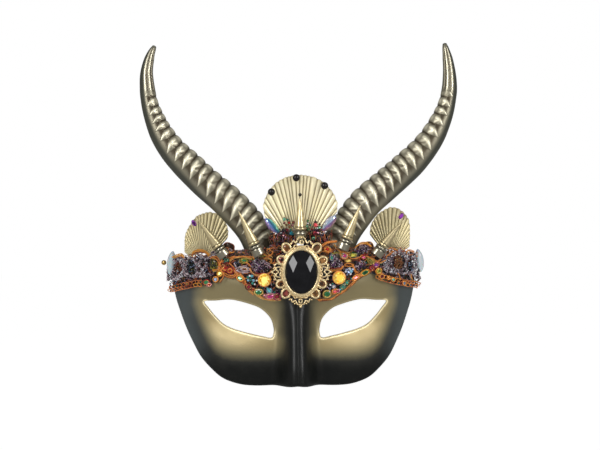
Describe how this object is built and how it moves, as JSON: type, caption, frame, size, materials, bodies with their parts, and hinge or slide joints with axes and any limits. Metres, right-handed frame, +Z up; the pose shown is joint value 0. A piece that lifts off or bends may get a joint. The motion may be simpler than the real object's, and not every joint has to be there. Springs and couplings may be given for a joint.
{
  "type": "masquerade half mask",
  "caption": "Masquerade half mask: moulded shell with eye holes, ridged antelope horns, pleated fans, turned spikes, a pierced oval brooch with a black stone, and braid and bead trims.",
  "frame": {"origin": "midway between the temple edges of the shell, at the height of the nose bridge, in the mask's mirror plane", "axes": "+Z up as worn, +X to the right of someone looking at the mask's face, -Y out of the face towards that person"},
  "size_m": [0.2271, 0.0657, 0.2428],
  "materials": {
    "shell_paint": "moulded shell sprayed satin charcoal, with antique gold airbrushed round the eyes",
    "horn_paint": "hollow moulded horn, antique brass paint rubbed dark in the grooves",
    "fan_gold": "pleated scallop, pale gold metallic satin",
    "spike_brass": "turned cone, satin antique brass",
    "spike_pewter": "turned ferrule, polished dark pewter",
    "filigree_gold": "cast filigree, bright pale gold plate",
    "black_gem": "faceted oval, polished jet black",
    "crystal": "faceted navette, iridescent coating of blue, violet, green and pink",
    "opal": "frosted pale opal, milky",
    "amber": "faceted amber cabochon, foil backed",
    "black_bead": "round bead, gloss black",
    "gold_bead": "round bead, tan gold",
    "purple_crystal": "oblong crystal, deep purple",
    "rhinestones": "cluster of small mixed crystals, teal, pink, green and clear",
    "lilac_braid": "looped metallic braid, silver lilac",
    "copper_braid": "twisted metallic cord, copper orange, holding cupped stones",
    "felt": "black felt base",
    "petal": "dark brown leatherette petal",
    "tab_plastic": "plain black tab"
  },
  "bodies": {
    "root": {"amber_cabochon_left": "amber", "amber_cabochon_right": "amber", "brooch_frame": "filigree_gold", "brooch_gem": "black_gem", "brow_backing": "felt", "edging_braid_left": "copper_braid", "edging_braid_right": "copper_braid", "fan_bead_center": "black_bead", "fan_bead_left": "black_bead", "fan_bead_right": "black_bead", "fan_center": "fan_gold", "fan_crystal_left": "purple_crystal", "fan_crystal_right": "purple_crystal", "fan_left": "fan_gold", "fan_right": "fan_gold", "gem_chain_left": "copper_braid", "gem_chain_right": "copper_braid", "gold_bead": "gold_bead", "horn_left": "horn_paint", "horn_right": "horn_paint", "lace_brow_left": "lilac_braid", "lace_brow_right": "lilac_braid", "lace_side_left": "lilac_braid", "lace_side_right": "lilac_braid", "mask_shell": "shell_paint", "navette_left": "crystal", "navette_right": "crystal", "opal_left": "opal", "opal_right": "opal", "petal_left": "petal", "petal_right": "petal", "rhinestone_cluster_brow": "rhinestones", "rhinestone_cluster_left": "rhinestones", "rhinestone_cluster_right": "rhinestones", "spike_cone_center": "spike_brass", "spike_cone_inner_left": "spike_brass", "spike_cone_inner_right": "spike_brass", "spike_cone_outer_left": "spike_brass", "spike_cone_outer_right": "spike_brass", "spike_ferrule_center": "spike_pewter", "spike_ferrule_inner_left": "spike_pewter", "spike_ferrule_inner_right": "spike_pewter", "spike_ferrule_outer_left": "spike_pewter", "spike_ferrule_outer_right": "spike_pewter", "spike_tip_bead": "black_bead", "strap_tab_left": "tab_plastic", "strap_tab_right": "tab_plastic"}
  },
  "joints": []
}
